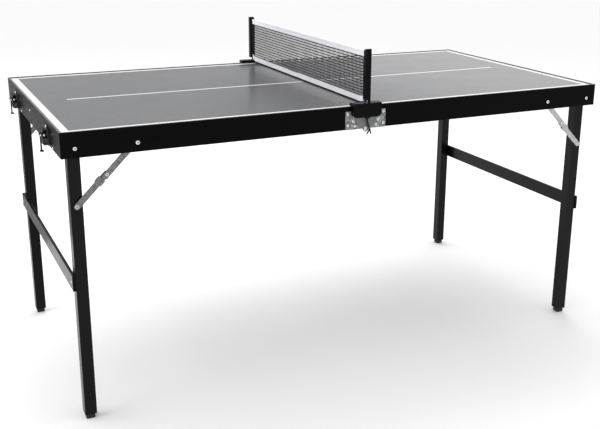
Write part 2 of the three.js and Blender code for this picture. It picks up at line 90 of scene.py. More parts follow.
def smooth_line(points, steps):
    """Points of a smooth line through the given ones, with some steps between each two."""
    padded = [2 * points[0] - points[1], *points, 2 * points[-1] - points[-2]]
    line = []
    for a, b, c, d in zip(padded, padded[1:], padded[2:], padded[3:]):
        for k in range(steps):
            t = k / steps
            line.append(0.5 * (2 * b + (c - a) * t + (2 * a - 5 * b + 4 * c - d) * t * t
                               + (3 * b - a - 3 * c + d) * t ** 3))
    return line + [points[-1]]


def tube(name, points, radius, closed=False, sides=3):
    """A curve object with a round section; each point carries the radius."""
    curve = bpy.data.curves.new(name, "CURVE")
    curve.dimensions, curve.bevel_depth, curve.bevel_resolution = "3D", 1.0, sides
    curve.use_fill_caps = not closed
    spline = curve.splines.new("POLY")
    spline.points.add(len(points) - 1)
    for spot, point in zip(spline.points, points):
        spot.co, spot.radius = (*point, 1), radius
    spline.use_cyclic_u = closed
    made = bpy.data.objects.new(name, curve)
    bpy.context.collection.objects.link(made)
    return made


cord_line = smooth_line(route, 3)
cord = tube("cord_end", cord_line, CORD_RADIUS)

# %% [markdown]
# ## The knot
# The stopper is an overhand knot. Its line is a trefoil, pulled tight: the tube is so thick that
# its turns touch. Two short tails stick out below it. The three curves are turned into meshes and
# joined, since a knot is one piece.

# %% Knot
KNOT_MIDDLE = route[-1]
KNOT_STEPS, KNOT_SIZE, KNOT_CORD_RADIUS, TAIL_RADIUS = 48, 0.95, 1.5, 1.9
TAILS = ((-1.6, -0.62), (1.7, 0.30))       # how far aside each tail starts, and its lean


def only(*pieces):
    """Select only these pieces, and make the first one active."""
    if bpy.context.object and bpy.context.object.mode != "OBJECT":
        bpy.ops.object.mode_set(mode="OBJECT")
    bpy.ops.object.select_all(action="DESELECT")
    for piece in pieces:
        piece.select_set(True)
    bpy.context.view_layer.objects.active = pieces[0] if pieces else None


def joined(name, pieces):
    """Several mesh pieces as one."""
    only(*pieces)
    if len(pieces) > 1:
        bpy.ops.object.join()
    pieces[0].name = pieces[0].data.name = name
    return pieces[0]


def trefoil(k):
    """Point k of the knot's closed line, measured from the knot's middle."""
    t = 2 * math.pi * k / KNOT_STEPS
    return Vector((math.sin(t) + 2 * math.sin(2 * t), 1.3 * math.sin(3 * t),
                   math.cos(t) - 2 * math.cos(2 * t))) * KNOT_SIZE * MM


knot_line = [KNOT_MIDDLE + trefoil(k) for k in range(KNOT_STEPS)]
knot_parts = [tube("knot", knot_line, KNOT_CORD_RADIUS * MM, closed=True)]
for aside, lean in TAILS:
    tail = [KNOT_MIDDLE + Vector((aside + lean * fall, 0.1 * fall, -1.5 - fall)) * MM
            for fall in (0, 3, 6, 8.5, 9.5)]
    knot_parts.append(tube("tail", tail, TAIL_RADIUS * MM))
only(*knot_parts)
bpy.ops.object.convert(target="MESH")
knot = joined("cord_knot", knot_parts)
print("knot faces", len(knot.data.polygons))

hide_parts("tension_cord")
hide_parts("tension_cord_knot")
for piece in (cord, knot):
    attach(piece, "net_posts")

# %% [markdown]
# ## The studio
# A pale floor and a white room give soft, even light, and two large panels put a clear sheen on
# the black paint: one at the left end and one above. Two grey cards are seen only in gloss: one
# keeps the left board darker, the other the left end. Nothing here belongs to the table.

# %% Floor, room and lights
only()
bpy.ops.mesh.primitive_plane_add(size=60, location=(0, 0, -0.0005))
floor = bpy.context.object
floor.name = "floor"
world = bpy.data.worlds.new("room")
bpy.context.scene.world = world
world.use_nodes = True
world.node_tree.nodes["Background"].inputs["Color"].default_value = (1.0, 1.0, 1.0, 1)
world.node_tree.nodes["Background"].inputs["Strength"].default_value = 1.0
bpy.context.scene.view_settings.view_transform = "Standard"


def panel(name, place, target, size, power):
    """A soft rectangular light that faces a point."""
    only()
    bpy.ops.object.light_add(type="AREA", location=place)
    light = bpy.context.object
    light.name = name
    light.data.shape, light.data.size, light.data.size_y = "RECTANGLE", *size
    light.data.energy = power
    light.rotation_mode = "QUATERNION"
    light.rotation_quaternion = (Vector(target) - Vector(place)).to_track_quat("-Z", "Y")


panel("panel_left", (-3.4, 0.2, 1.6), (0, 0, 0.6), (3.0, 2.2), 45)
panel("panel_above", (0.6, 1.6, 3.4), (0, 0, 0.7), (3.2, 1.8), 55)


def card(name, corners):
    """A grey card that shows only in glossy reflections. Its four corners are given in metres."""
    bpy.ops.mesh.primitive_plane_add(size=1)
    made = bpy.context.object
    made.name = name
    for vertex, corner in zip(made.data.vertices, corners):
        vertex.co = corner
    made.visible_camera = made.visible_diffuse = made.visible_shadow = False
    return made


BEHIND = [(-2.4, 2.6, 0.6), (-0.4, 2.6, 0.6), (-2.4, 2.6, 2.2), (3.4, 2.6, 2.2)]
AT_LEFT = [(-2.6, 1.0, 0.0), (-0.86, 1.0, 0.0), (-2.6, 1.0, 1.3), (-0.86, 1.0, 1.3)]
cards = [card("card_behind", BEHIND), card("card_left", AT_LEFT)]

# %% [markdown]
# ## Helpers for materials
# Every finish is a small node tree. One helper adds a node and fills or links its inputs, one
# starts a material, and one starts a node group with named sockets.

# %% Node helpers
def put(tree, kind, inputs=None, **settings):
    """Add a node. Inputs are values, or outputs of other nodes to link."""
    made = tree.nodes.new(kind)
    for key, value in settings.items():
        setattr(made, key, value)
    for key, value in (inputs or {}).items():
        socket = made.inputs[key]
        if isinstance(value, bpy.types.NodeSocket):
            tree.links.new(value, socket)
        else:
            socket.default_value = value
    return made


def sum_of(tree, operation, first, second=0.0):
    """One math node's result."""
    return put(tree, "ShaderNodeMath", {0: first, 1: second}, operation=operation).outputs[0]


def blended(tree, share, first, second):
    """A colour between two, by a share from 0 to 1."""
    node = put(tree, "ShaderNodeMix", data_type="RGBA")
    for socket, value in ((node.inputs[0], share), (node.inputs[6], first), (node.inputs[7], second)):
        if isinstance(value, bpy.types.NodeSocket):
            tree.links.new(value, socket)
        else:
            socket.default_value = value
    return node.outputs[2]


def spread(tree, value, low, high, to_low=0.0, to_high=1.0):
    """A value moved from one range to another, and kept inside it."""
    node = put(tree, "ShaderNodeMapRange", {0: value, 1: low, 2: high, 3: to_low, 4: to_high})
    return node.outputs[0]


def new_group(name, ins, outs):
    """A node group, its input node's outputs and its output node's inputs."""
    group = bpy.data.node_groups.new(name, "ShaderNodeTree")
    for label, kind, value in ins:
        socket = group.interface.new_socket(label, in_out="INPUT", socket_type=kind)
        if value is not None:
            socket.default_value = value
    for label, kind in outs:
        group.interface.new_socket(label, in_out="OUTPUT", socket_type=kind)
    return group, put(group, "NodeGroupInput").outputs, put(group, "NodeGroupOutput").inputs


def new_material(name, metallic=0.0, specular=0.5):
    """A material with one Principled shader, and its place on the piece as the pattern's input."""
    material = bpy.data.materials.new(name)
    material.use_nodes = True
    tree = material.node_tree
    shader = tree.nodes["Principled BSDF"]
    shader.inputs["Metallic"].default_value = metallic
    shader.inputs["Specular IOR Level"].default_value = specular
    place = put(tree, "ShaderNodeTexCoord").outputs["Object"]
    return material, tree, shader, place


def used(tree, group, inputs):
    """A node group placed in a material with its own values."""
    node = put(tree, "ShaderNodeGroup", node_tree=bpy.data.node_groups[group])
    for key, value in inputs.items():
        if isinstance(value, bpy.types.NodeSocket):
            tree.links.new(value, node.inputs[key])
        else:
            node.inputs[key].default_value = value
    return node.outputs


def bump(tree, shader, height, strength, distance):
    """Feed a height to the shader's normal."""
    node = put(tree, "ShaderNodeBump", {"Height": height, "Strength": strength, "Distance": distance})
    tree.links.new(node.outputs[0], shader.inputs["Normal"])


print("helpers ready")

# %% [markdown]
# ## Effects that several finishes share
# - Paint skin: sprayed powder is never flat. Two sizes of noise give its fine grain and the slow
#   orange peel under it.
# - Edge wear: paint and zinc rub through on the corners first, and unevenly. A Bevel node gives the
#   normal that a rounded corner would have. Where it differs from the face's own normal, the
#   corner is near.
# - Dust: a little of it lies on whatever faces up.
# - Twist: the strands of twine, cord and thread are slanting ridges round the piece.

# %% Shared effects
VECTOR, FLOAT = "NodeSocketVector", "NodeSocketFloat"
skin, ins, outs = new_group("Paint skin", [("Place", VECTOR, None), ("Grain size", FLOAT, 900.0)],
                            [("Height", FLOAT), ("Patches", FLOAT)])
fine = put(skin, "ShaderNodeTexNoise",
           {"Vector": ins["Place"], "Scale": ins["Grain size"], "Detail": 2.0})
peel = put(skin, "ShaderNodeTexNoise", {"Vector": ins["Place"], "Scale": 160.0, "Detail": 1.0})
slow = put(skin, "ShaderNodeTexNoise", {"Vector": ins["Place"], "Scale": 7.0, "Detail": 3.0})
mixed = put(skin, "ShaderNodeMath", {0: fine.outputs[0], 1: 0.35}, operation="MULTIPLY_ADD")
skin.links.new(peel.outputs[0], mixed.inputs[2])
skin.links.new(mixed.outputs[0], outs["Height"])
skin.links.new(spread(skin, slow.outputs[0], 0.3, 0.7), outs["Patches"])

wear, ins, outs = new_group("Edge wear", [("Place", VECTOR, None), ("Amount", FLOAT, 0.5)],
                            [("Worn", FLOAT)])
rounded = put(wear, "ShaderNodeBevel", {"Radius": 0.0012}, samples=4).outputs[0]
own = put(wear, "ShaderNodeNewGeometry").outputs["Normal"]
agree = put(wear, "ShaderNodeVectorMath", {0: rounded, 1: own}, operation="DOT_PRODUCT").outputs["Value"]
rubbed = put(wear, "ShaderNodeTexNoise", {"Vector": ins["Place"], "Scale": 45.0, "Detail": 5.0})
sharp = spread(wear, agree, 0.97, 0.80)
patchy = spread(wear, rubbed.outputs[0], 0.50, 0.66)
both = sum_of(wear, "MULTIPLY", sharp, patchy)
wear.links.new(sum_of(wear, "MULTIPLY", both, ins["Amount"]), outs["Worn"])

dust, ins, outs = new_group("Dust", [("Place", VECTOR, None), ("Amount", FLOAT, 0.3)],
                            [("Dusty", FLOAT)])
facing = put(dust, "ShaderNodeSeparateXYZ", {0: put(dust, "ShaderNodeNewGeometry").outputs["Normal"]})
motes = put(dust, "ShaderNodeTexNoise", {"Vector": ins["Place"], "Scale": 22.0, "Detail": 6.0})
lying = sum_of(dust, "MULTIPLY", spread(dust, facing.outputs[2], 0.6, 1.0),
               spread(dust, motes.outputs[0], 0.42, 0.75))
dust.links.new(sum_of(dust, "MULTIPLY", lying, ins["Amount"]), outs["Dusty"])

twist, ins, outs = new_group("Twist", [("Place", VECTOR, None), ("Strands", FLOAT, 600.0)],
                             [("Height", FLOAT), ("Fuzz", FLOAT)])
slant = put(twist, "ShaderNodeTexWave", {"Vector": ins["Place"], "Scale": ins["Strands"],
                                         "Distortion": 1.5, "Detail": 1.0}, bands_direction="DIAGONAL")
fuzz = put(twist, "ShaderNodeTexNoise", {"Vector": ins["Place"], "Scale": 1500.0, "Detail": 2.0})
twist.links.new(slant.outputs["Fac"], outs["Height"])
twist.links.new(fuzz.outputs[0], outs["Fuzz"])
print("groups", [group.name for group in bpy.data.node_groups])

# %% [markdown]
# ## The boards' lacquer
# The playing board is fibreboard with a grey semi-gloss lacquer. White lines are printed on it: a
# 21 mm border along the three outer edges, and a thin middle line that starts 97 mm from the end.
# The lines are straight and belong to the board, so they are measured from its own coordinates.
# The underside, the edges and a hair along the seam between the halves are bare, darker board.

# %% Board lacquer
BORDER_LENGTH_WAY, BORDER_WIDTH_WAY = 773.7, 373.7
MIDDLE_LINE_HALF, MIDDLE_LINE_END, SEAM_EDGE = 4.3, 703.0, 2.2
BOARD_FLANK, BOARD_FACE = 0.7560, 0.7573
lacquer, tree, shader, place = new_material("board_lacquer", specular=0.5)
axes = put(tree, "ShaderNodeSeparateXYZ", {0: place}).outputs
length_way, width_way = (sum_of(tree, "ABSOLUTE", axes[k]) for k in (0, 1))
edge_soft = 0.35 * MM


def beyond(value, limit):
    """1 past a limit in millimetres, 0 before it, with an edge as soft as print."""
    return spread(tree, value, limit * MM - edge_soft, limit * MM + edge_soft)


border = sum_of(tree, "MAXIMUM", beyond(length_way, BORDER_LENGTH_WAY),
                beyond(width_way, BORDER_WIDTH_WAY))
middle = sum_of(tree, "MULTIPLY", sum_of(tree, "SUBTRACT", 1.0, beyond(width_way, MIDDLE_LINE_HALF)),
                sum_of(tree, "SUBTRACT", 1.0, beyond(length_way, MIDDLE_LINE_END)))
top_side = spread(tree, axes[2], BOARD_FLANK, BOARD_FACE)
line = sum_of(tree, "MULTIPLY", sum_of(tree, "MAXIMUM", border, middle), top_side)
skin_out = used(tree, "Paint skin", {"Place": place, "Grain size": 700.0})
fibre = put(tree, "ShaderNodeTexNoise", {"Vector": place, "Scale": 260.0, "Detail": 6.0}).outputs[0]
bare = blended(tree, fibre, (0.020, 0.018, 0.016, 1), (0.060, 0.052, 0.044, 1))
grey = blended(tree, skin_out["Patches"], (0.128, 0.130, 0.136, 1), (0.132, 0.134, 0.140, 1))
white = blended(tree, fibre, (0.80, 0.80, 0.80, 1), (0.90, 0.90, 0.90, 1))
painted = blended(tree, line, grey, white)
covered = sum_of(tree, "MULTIPLY", top_side, beyond(length_way, SEAM_EDGE))
tree.links.new(blended(tree, covered, bare, painted), shader.inputs["Base Color"])
marks = put(tree, "ShaderNodeTexNoise", {"Vector": place, "Scale": 11.0, "Detail": 8.0}).outputs[0]
tree.links.new(spread(tree, marks, 0.3, 0.7, 0.20, 0.235), shader.inputs["Roughness"])
raised = put(tree, "ShaderNodeMath", {0: line, 1: 1.5}, operation="MULTIPLY_ADD")
tree.links.new(skin_out["Height"], raised.inputs[2])
bump(tree, shader, raised.outputs[0], 0.05, 0.0001)
print("lacquer nodes", len(tree.nodes))

# %% [markdown]
# ## Black paint
# Rails and leg tubes are powder coated: near black, semi-gloss, with a fine skin. The rails are
# a little glossier than the tubes. The top of the rim is painted grey, as a painted reflection of
# the sheen it catches. Paint that has rubbed thin on an edge looks greyer too, and the tops of
# things carry some dust.

# %% Painted steel
RIM_HEIGHT = 0.7592


def paint(name, dark, light, rough, specular, worn, dusty):
    """Powder coat between two tones, with skin, a rim painted grey as a painted reflection, worn edges
    and dust.
    """
    material, tree, shader, place = new_material(name, specular=specular)
    skin_out = used(tree, "Paint skin", {"Place": place, "Grain size": 1100.0})
    worn_out = used(tree, "Edge wear", {"Place": place, "Amount": worn})["Worn"]
    dust_out = used(tree, "Dust", {"Place": place, "Amount": dusty})["Dusty"]
    normal = put(tree, "ShaderNodeNewGeometry").outputs["Normal"]
    facing_up = put(tree, "ShaderNodeSeparateXYZ", {0: normal}).outputs[2]
    height = put(tree, "ShaderNodeSeparateXYZ", {0: place}).outputs[2]
    # The top of the rim is painted grey: a painted reflection of the sheen the semi-gloss lip catches.
    rim = sum_of(tree, "MULTIPLY", spread(tree, facing_up, 0.80, 0.95),
                 spread(tree, height, RIM_HEIGHT, RIM_HEIGHT + 0.4 * MM))
    colour = blended(tree, skin_out["Patches"], dark, light)
    colour = blended(tree, rim, colour, (0.15, 0.15, 0.15, 1))
    colour = blended(tree, worn_out, colour, (0.16, 0.16, 0.16, 1))
    colour = blended(tree, dust_out, colour, (0.35, 0.34, 0.33, 1))
    tree.links.new(colour, shader.inputs["Base Color"])
    rough_out = spread(tree, skin_out["Patches"], 0.0, 1.0, rough - 0.01, rough + 0.02)
    tree.links.new(sum_of(tree, "ADD", rough_out, dust_out), shader.inputs["Roughness"])
    bump(tree, shader, skin_out["Height"], 0.07, 0.0001)
    return material


rail_paint = paint("rail_paint", (0.0008, 0.0008, 0.0010, 1), (0.0012, 0.0012, 0.0014, 1),
                   rough=0.27, specular=0.05, worn=0.25, dusty=0.03)
tube_paint = paint("tube_paint", (0.0014, 0.0014, 0.0016, 1), (0.0022, 0.0022, 0.0024, 1),
                   rough=0.26, specular=0.14, worn=0.25, dusty=0.04)
print("paints", rail_paint.name, tube_paint.name)

# %% [markdown]
# ## Zinc, bright steel and plastic
# Hot-dip zinc has a spangle: flat crystals that catch the light one by one. Cells of a Voronoi
# texture, each with its own tone and roughness, are just that. The hinge's half disc is rubbed
# smooth by the bracket that hooks over it. Round the hinge pin the zinc is painted bright, as a
# painted highlight on the pin head. On the braces, what stands out past the rail's face is black,
# which leaves a dark ring round each bright rivet head. The right braces have a lighter copy of the
# brace zinc, painted light. Bright zinc plate is smoother and has fine polishing lines. Mouldings
# are black plastic with a satin skin.

# %% Zinc
LOBE_FACE, RAIL_FACE, FOLD_Z = 0.4047, 0.4002, 0.6965
PIN_HEAD = 6.8 * MM


def zinc_plate(name, dark, light, crystals, disc, black_past_rail):
    """Zinc with a spangle. disc is how far the hinge's lapping half disc is rubbed smooth, and how
    bright the painted highlight round the pin is. black_past_rail is how far what stands out past
    the rail's face is made black."""
    material, tree, shader, place = new_material(name, metallic=1.0)
    cells = put(tree, "ShaderNodeTexVoronoi", {"Vector": place, "Scale": crystals, "Randomness": 1.0})
    crystal = put(tree, "ShaderNodeSeparateColor", {0: cells.outputs["Color"]}).outputs
    small = put(tree, "ShaderNodeTexNoise", {"Vector": place, "Scale": 900.0, "Detail": 3.0}).outputs[0]
    tone = blended(tree, crystal[0], dark, light)
    tone = blended(tree, spread(tree, small, 0.45, 0.8, 0.0, 0.5), tone, (0.10, 0.10, 0.10, 1))
    axes = put(tree, "ShaderNodeSeparateXYZ", {0: place}).outputs
    aside = sum_of(tree, "ABSOLUTE", axes[1])
    rubbed = spread(tree, aside, LOBE_FACE - 0.3 * MM, LOBE_FACE, 0.0, disc)
    scuffs = put(tree, "ShaderNodeTexNoise", {"Vector": place, "Scale": 60.0, "Detail": 4.0}).outputs[0]
    smooth_face = blended(tree, scuffs, (0.10, 0.102, 0.105, 1), (0.22, 0.223, 0.226, 1))
    tone = blended(tree, rubbed, tone, smooth_face)
    over_pin = sum_of(tree, "SUBTRACT", axes[2], FOLD_Z)
    across = put(tree, "ShaderNodeCombineXYZ", {0: axes[0], 2: over_pin}).outputs[0]
    from_pin = put(tree, "ShaderNodeVectorMath", {0: across}, operation="LENGTH").outputs["Value"]
    # Round the pin the zinc is painted bright: a painted highlight on the pin head.
    pin_painted_highlight = spread(tree, from_pin, PIN_HEAD, PIN_HEAD + 0.4 * MM, disc, 0.0)
    tone = blended(tree, pin_painted_highlight, tone, (0.60, 0.60, 0.60, 1))
    # What stands out past the rail's face is black; this leaves a dark ring round each bright rivet
    # head.
    past_rail_black = spread(tree, aside, RAIL_FACE - 0.2 * MM, RAIL_FACE, 0.0, black_past_rail)
    tone = blended(tree, past_rail_black, tone, (0.0015, 0.0015, 0.0018, 1))
    worn_out = used(tree, "Edge wear", {"Place": place, "Amount": 0.5})["Worn"]
    tree.links.new(blended(tree, worn_out, tone, (0.55, 0.55, 0.55, 1)), shader.inputs["Base Color"])
    tree.links.new(spread(tree, crystal[1], 0.0, 1.0, 0.28, 0.48), shader.inputs["Roughness"])
    bump(tree, shader, small, 0.20, 0.0001)
    return material


zinc = zinc_plate("spangled_zinc", (0.08, 0.083, 0.084, 1), (0.40, 0.405, 0.41, 1),
                  crystals=330.0, disc=1.0, black_past_rail=0.0)
strut_zinc = zinc_plate("strut_zinc", (0.10, 0.103, 0.105, 1), (0.27, 0.273, 0.275, 1),
                        crystals=420.0, disc=0.0, black_past_rail=1.0)
# The right braces get the brace zinc painted lighter: painted light, where the same zinc looks brighter
# than on the left braces.
strut_zinc_painted_lighter = zinc_plate("strut_zinc_painted_lighter", (0.34, 0.345, 0.35, 1), (0.62, 0.625, 0.63, 1),
                            crystals=420.0, disc=0.0, black_past_rail=1.0)
dark_zinc = zinc_plate("dark_zinc", (0.03, 0.03, 0.032, 1), (0.12, 0.12, 0.125, 1),
                       crystals=420.0, disc=0.0, black_past_rail=0.0)
print("zinc", zinc.name, strut_zinc.name, strut_zinc_painted_lighter.name, dark_zinc.name)


# %% Bright metal and plastic
bright, tree, shader, place = new_material("bright_zinc", metallic=1.0)
brushed = put(tree, "ShaderNodeMapping", {"Vector": place, "Scale": (1.0, 1.0, 8.0)}).outputs[0]
lines = put(tree, "ShaderNodeTexNoise", {"Vector": brushed, "Scale": 420.0, "Detail": 4.0}).outputs[0]
plated = blended(tree, lines, (0.66, 0.66, 0.67, 1), (0.92, 0.92, 0.93, 1))
tree.links.new(plated, shader.inputs["Base Color"])
tree.links.new(spread(tree, lines, 0.3, 0.7, 0.14, 0.26), shader.inputs["Roughness"])
bump(tree, shader, lines, 0.08, 0.00008)


def moulding(name, dark, light, rough, specular, grain):
    """Moulded plastic or rubber with a fine skin."""
    material, tree, shader, place = new_material(name, specular=specular)
    skin_out = used(tree, "Paint skin", {"Place": place, "Grain size": grain})
    dust_out = used(tree, "Dust", {"Place": place, "Amount": 0.05})["Dusty"]
    worn_out = used(tree, "Edge wear", {"Place": place, "Amount": 0.35})["Worn"]
    colour = blended(tree, skin_out["Patches"], dark, light)
    colour = blended(tree, worn_out, colour, (0.10, 0.10, 0.10, 1))
    tree.links.new(blended(tree, dust_out, colour, (0.3, 0.3, 0.3, 1)), shader.inputs["Base Color"])
    rough_out = spread(tree, skin_out["Patches"], 0.0, 1.0, rough, rough + 0.08)
    tree.links.new(rough_out, shader.inputs["Roughness"])
    bump(tree, shader, skin_out["Height"], 0.12, 0.00012)
    return material


black_plastic = moulding("black_plastic", (0.0008, 0.0008, 0.0011, 1), (0.0015, 0.0015, 0.0019, 1),
                         rough=0.24, specular=0.08, grain=1500.0)
foot_rubber = moulding("foot_rubber", (0.010, 0.010, 0.010, 1), (0.018, 0.018, 0.018, 1),
                       rough=0.62, specular=0.30, grain=700.0)
print("metal and plastic ready")

# %% [markdown]
# ## Cloth and cord
# The net's tapes are white woven binding with a cool cast. Warp and weft are two sets of fine
# ridges, and two rows of thread run along each tape. Along the lower tape's folded edge a dark band
# is painted: painted shade of the narrow gap under the tape, over the black cord in the fold, and
# that tape gets no sheen.
# The twine and the tension cord are black, dull and twisted. Cloth scatters light at its rim, which
# is what sheen is for.

# %% Tape cloth
STITCH = 3.2 * MM
THREAD_HALF, DASH_HALF, FOLD_SHADE_EDGE = 0.45, 0.36, 6.3


def within(tree, value, middle, half):
    """1 where a value is less than half a width from a middle, else 0."""
    away = sum_of(tree, "ABSOLUTE", sum_of(tree, "SUBTRACT", value, middle))
    return sum_of(tree, "LESS_THAN", away, half)


def binding_cloth(name, stitch_rows, fold_shade_share):
    """Woven binding. The piece's own "down" is each spot's distance from its folded edge in
    millimetres. fold_shade_share is how dark the band along that edge is painted: painted shade of the
    gap under the tape, over the black cord in it; it also takes the sheen away."""
    material, tree, shader, place = new_material(name, specular=0.25)
    axes = put(tree, "ShaderNodeSeparateXYZ", {0: place}).outputs
    down = put(tree, "ShaderNodeAttribute", attribute_name="down").outputs["Fac"]
    ridges = [put(tree, "ShaderNodeTexWave", {"Vector": place, "Scale": 420.0, "Distortion": 0.4},
                  bands_direction=way).outputs["Fac"] for way in ("Y", "Z")]
    weave = sum_of(tree, "MULTIPLY", *ridges)
    along = sum_of(tree, "FRACT", sum_of(tree, "DIVIDE", axes[1], STITCH))
    dash = within(tree, along, 0.5, DASH_HALF)
    rows = [within(tree, down, row, THREAD_HALF) for row in stitch_rows]
    thread = sum_of(tree, "MULTIPLY", sum_of(tree, "MAXIMUM", *rows), dash)
    soil = put(tree, "ShaderNodeTexNoise", {"Vector": place, "Scale": 14.0, "Detail": 5.0}).outputs[0]
    cloth = blended(tree, spread(tree, soil, 0.35, 0.7), (0.78, 0.775, 0.82, 1), (0.69, 0.685, 0.74, 1))
    cloth = blended(tree, sum_of(tree, "MULTIPLY", weave, 0.35), cloth, (0.50, 0.49, 0.56, 1))
    cloth = blended(tree, thread, cloth, (0.86, 0.86, 0.88, 1))
    # A dark band along the folded edge: painted shade of the gap under the tape, over the black cord in
    # the fold.
    painted_fold_shade = spread(tree, down, FOLD_SHADE_EDGE, FOLD_SHADE_EDGE + 0.5, fold_shade_share, 0.0)
    cloth = blended(tree, painted_fold_shade, cloth, (0.003, 0.003, 0.005, 1))
    tree.links.new(cloth, shader.inputs["Base Color"])
    tree.links.new(spread(tree, weave, 0.0, 1.0, 0.72, 0.88), shader.inputs["Roughness"])
    shader.inputs["Sheen Weight"].default_value = 0.2 * (1 - fold_shade_share)
    stitched = put(tree, "ShaderNodeMath", {0: thread, 1: 2.5}, operation="MULTIPLY_ADD")
    tree.links.new(weave, stitched.inputs[2])
    bump(tree, shader, stitched.outputs[0], 0.55, 0.00022)
    return material


tape_cloth = binding_cloth("tape_cloth", (3.0, 11.2), 0.0)
lower_tape_cloth = binding_cloth("lower_tape_cloth", (8.2, 17.0), 1.0)
print("tape stitches every", STITCH)


# %% Twine and cord
def strand(name, dark, light, strands, sheen):
    """Twisted or braided black fibre."""
    material, tree, shader, place = new_material(name, specular=0.2)
    out = used(tree, "Twist", {"Place": place, "Strands": strands})
    shade = sum_of(tree, "MULTIPLY", out["Height"], out["Fuzz"])
    tree.links.new(blended(tree, shade, dark, light), shader.inputs["Base Color"])
    tree.links.new(spread(tree, out["Fuzz"], 0.3, 0.7, 0.70, 0.90), shader.inputs["Roughness"])
    shader.inputs["Sheen Weight"].default_value = sheen
    bump(tree, shader, out["Height"], 0.6, 0.0003)
    return material


twine = strand("net_twine", (0.003, 0.003, 0.004, 1), (0.016, 0.016, 0.019, 1), 420.0, 0.03)
braid = strand("cord_braid", (0.002, 0.002, 0.003, 1), (0.014, 0.014, 0.018, 1), 300.0, 0.04)
sleeve_cloth = strand("sleeve_cloth", (0.004, 0.004, 0.005, 1), (0.018, 0.018, 0.021, 1), 520.0, 0.05)
for piece in (cord, knot):
    piece.data.materials.append(braid)
print("strands", twine.name, braid.name, sleeve_cloth.name)

# %% Floor and cards
floor_skin, tree, shader, place = new_material("floor_paint", specular=0.2)
mottle = put(tree, "ShaderNodeTexNoise", {"Vector": place, "Scale": 0.6, "Detail": 2.0}).outputs[0]
pale = blended(tree, mottle, (0.95, 0.95, 0.95, 1), (0.97, 0.97, 0.97, 1))
tree.links.new(pale, shader.inputs["Base Color"])
shader.inputs["Roughness"].default_value = 0.9
floor.data.materials.append(floor_skin)
card_felt, tree, shader, place = new_material("card_felt", specular=0.0)
nap = put(tree, "ShaderNodeTexNoise", {"Vector": place, "Scale": 40.0, "Detail": 3.0}).outputs[0]
felt = blended(tree, nap, (0.35, 0.35, 0.36, 1), (0.39, 0.39, 0.40, 1))
deeper = spread(tree, put(tree, "ShaderNodeSeparateXYZ", {0: place}).outputs[0], 0.5, 1.2)
tree.links.new(blended(tree, deeper, felt, (0.12, 0.12, 0.135, 1)), shader.inputs["Base Color"])
shader.inputs["Roughness"].default_value = 1.0
for made in cards:
    made.data.materials.append(card_felt)
print("materials", len(bpy.data.materials))

# %% [markdown]
# ## Finishes and soft edges on the frame's own nodes
# Pressed and moulded edges are never sharp, and it is the thin line of light on them that tells
# steel from cardboard. The nodes are loose triangles, so each gets a small geometry group that
# welds them and smooths the round faces, and then a Bevel of the width its making leaves.

# %% Weld and smooth group
welded = bpy.data.node_groups.new("Weld and smooth", "GeometryNodeTree")
welded.interface.new_socket("Geometry", in_out="INPUT", socket_type="NodeSocketGeometry")
welded.interface.new_socket("Geometry", in_out="OUTPUT", socket_type="NodeSocketGeometry")
merge = put(welded, "GeometryNodeMergeByDistance",
            {"Geometry": put(welded, "NodeGroupInput").outputs[0], "Distance": 0.00001})
smooth = put(welded, "GeometryNodeSetShadeSmooth",
             {"Geometry": merge.outputs[0], "Shade Smooth": True}, domain="FACE")
angle = put(welded, "GeometryNodeInputMeshEdgeAngle").outputs["Unsigned Angle"]
crease = put(welded, "FunctionNodeCompare", {0: angle, 1: math.radians(32)}, operation="GREATER_THAN")
hard = put(welded, "GeometryNodeSetShadeSmooth",
           {"Geometry": smooth.outputs[0], "Selection": crease.outputs[0], "Shade Smooth": False},
           domain="EDGE")
put(welded, "NodeGroupOutput", {0: hard.outputs[0]})
print("weld group", welded.name)

# %% Dress the nodes
FINISH_OF_SLOT = {
    "playing_board": (lacquer, 0.5), "black_rail": (rail_paint, 0.6), "black_tube": (tube_paint, 1.3),
    "galvanised_steel": (zinc, 0.3), "bright_steel": (strut_zinc, 0.5),
    "black_plastic": (black_plastic, 1.1), "foot_plastic": (foot_rubber, 0.8),
    "net_twine": (twine, 0.2), "net_tape": (tape_cloth, 0.3), "tension_cord": (braid, 0.2)}
# The leg pivot pins are black like the rails, which leaves a dark ring round each bright rivet head.
OTHER_FINISH = [("left", "brace", strut_zinc), ("right", "brace", strut_zinc_painted_lighter),
                ("", "latch_base", dark_zinc), ("", "leg_pivot_pin", rail_paint)]
BEVEL_OF_NODE = {"carry_handle": 2.2, "front_latch_lever": 0.6, "rear_latch_lever": 0.6,
                 "front_latch_hook": 0.4, "rear_latch_hook": 0.4}


def dress(node, material, width):
    """Give a frame node its finish, a weld and a bevel."""
    node.data.materials.clear()
    node.data.materials.append(material)
    node.modifiers.new("weld", "NODES").node_group = welded
    soft = node.modifiers.new("soft_edges", "BEVEL")
    soft.width, soft.segments, soft.limit_method = width * MM, 2, "ANGLE"
    soft.angle_limit, soft.harden_normals = math.radians(40), True


for row in frame["record"]["subparts"]:
    material, width = FINISH_OF_SLOT[row["material_slot"]]
    for half, part, special in OTHER_FINISH:
        if row["node"].startswith(half) and part in row["node"]:
            material = special
    dress(frame["nodes"][row["node"]], material, BEVEL_OF_NODE.get(row["node"], width))

# %% [markdown]
# ## Helpers for modelling
# Each new piece starts as a primitive at its place. Faces or edges are then picked by where they
# are, and worked on in edit mode. Its place is applied to its mesh at once, so that every number
# below is in the table's own frame.

# %% Modelling helpers
def begin(name, add, **where):
    """Add a primitive and apply its place."""
    only()
    add(**where)
    piece = bpy.context.object
    piece.name = piece.data.name = name
    bpy.ops.object.transform_apply(location=True, rotation=True, scale=True)
    return piece


